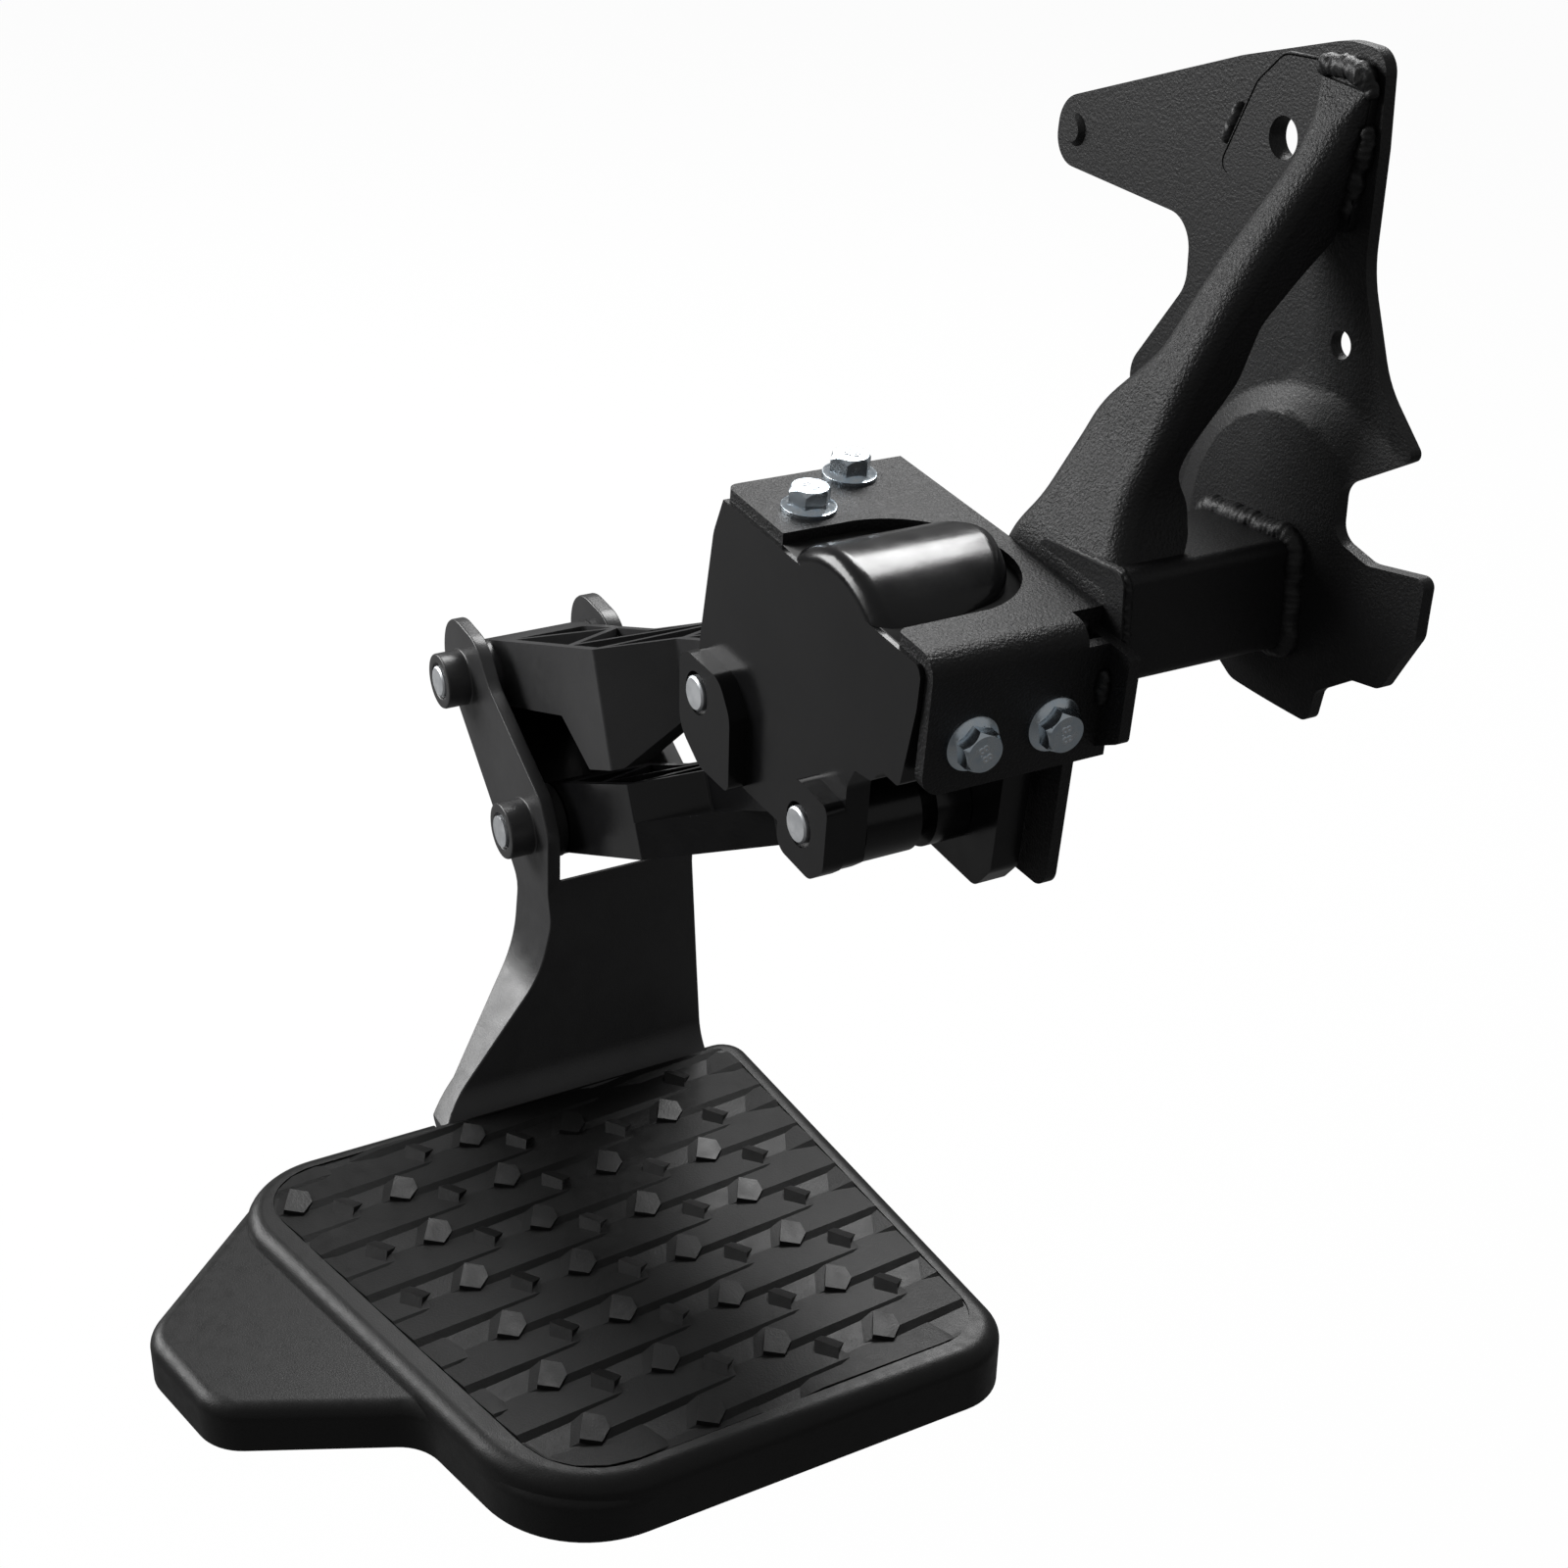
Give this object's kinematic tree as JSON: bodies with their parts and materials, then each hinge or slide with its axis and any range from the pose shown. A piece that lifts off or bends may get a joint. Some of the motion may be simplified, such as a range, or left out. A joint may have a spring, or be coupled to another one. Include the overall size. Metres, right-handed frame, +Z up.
{
  "type": "rear bed step",
  "caption": "Fold-down rear bed step: a frame plate and welded arm carry a cast hinge housing, two dog-leg links and a step bracket with a wide studded tread.",
  "frame": {"origin": "centre of the main bolt hole on the inboard face of the frame plate", "axes": "+Y inboard, square to the frame plate, +X to the rear of the truck, +Z up"},
  "size_m": [0.4231, 0.4298, 0.5554],
  "materials": {
    "textured_coat": "black textured powder coat",
    "cast_coat": "black semi-gloss coat on a casting",
    "zinc": "bright zinc",
    "pin_steel": "bright turned steel",
    "bush_plastic": "dark bearing plastic",
    "platform_plastic": "black fine-grained moulding",
    "tread_rubber": "black tread rubber"
  },
  "bodies": {
    "frame": {"frame_plate": "textured_coat", "doubler_plate": "textured_coat", "plate_plug": "textured_coat", "gusset_arm": "textured_coat", "cross_tube": "textured_coat", "tube_plate_weld": "textured_coat", "tube_bracket_weld": "textured_coat", "gusset_welds": "textured_coat", "doubler_weld": "textured_coat", "hinge_bracket": "textured_coat", "flange_weld": "textured_coat", "hinge_housing": "cast_coat", "top_bolts": "zinc", "rear_bolts": "zinc", "frame_pin_upper": "pin_steel", "frame_pin_lower": "pin_steel", "frame_pin_rings": "pin_steel"},
    "upper_arm": {"upper_link": "cast_coat", "upper_link_frame_bush": "bush_plastic", "upper_link_step_bush": "bush_plastic"},
    "lower_arm": {"lower_link": "cast_coat", "lower_link_frame_bush": "bush_plastic"},
    "step": {"step_bracket": "cast_coat", "step_pin_upper": "pin_steel", "step_pin_lower": "pin_steel", "step_pin_rings": "pin_steel", "thrust_washers": "bush_plastic", "step_platform": "platform_plastic", "tread_pad": "tread_rubber", "foot_screws": "zinc"}
  },
  "joints": [
    {"name": "upper_link_pivot", "type": "hinge", "parent": "frame", "child": "upper_arm", "pos_m": [-0.0998, -0.14, -0.2428], "axis": [0, -1, 0], "range_deg": [-5, 95]},
    {"name": "lower_link_pivot", "type": "hinge", "parent": "frame", "child": "lower_arm", "pos_m": [-0.0123, -0.14, -0.2551], "axis": [0, -1, 0], "range_deg": [-4.5, 84.3]},
    {"name": "step_pivot", "type": "hinge", "parent": "upper_arm", "child": "step", "pos_m": [-0.2872, -0.17, -0.3263], "axis": [0, -1, 0], "range_deg": [-92.2, 4.9]}
  ],
  "couplings": [
    {"joint": "lower_link_pivot", "follows": "upper_link_pivot", "ratio": 0.8866},
    {"joint": "step_pivot", "follows": "upper_link_pivot", "ratio": -0.9695}
  ]
}
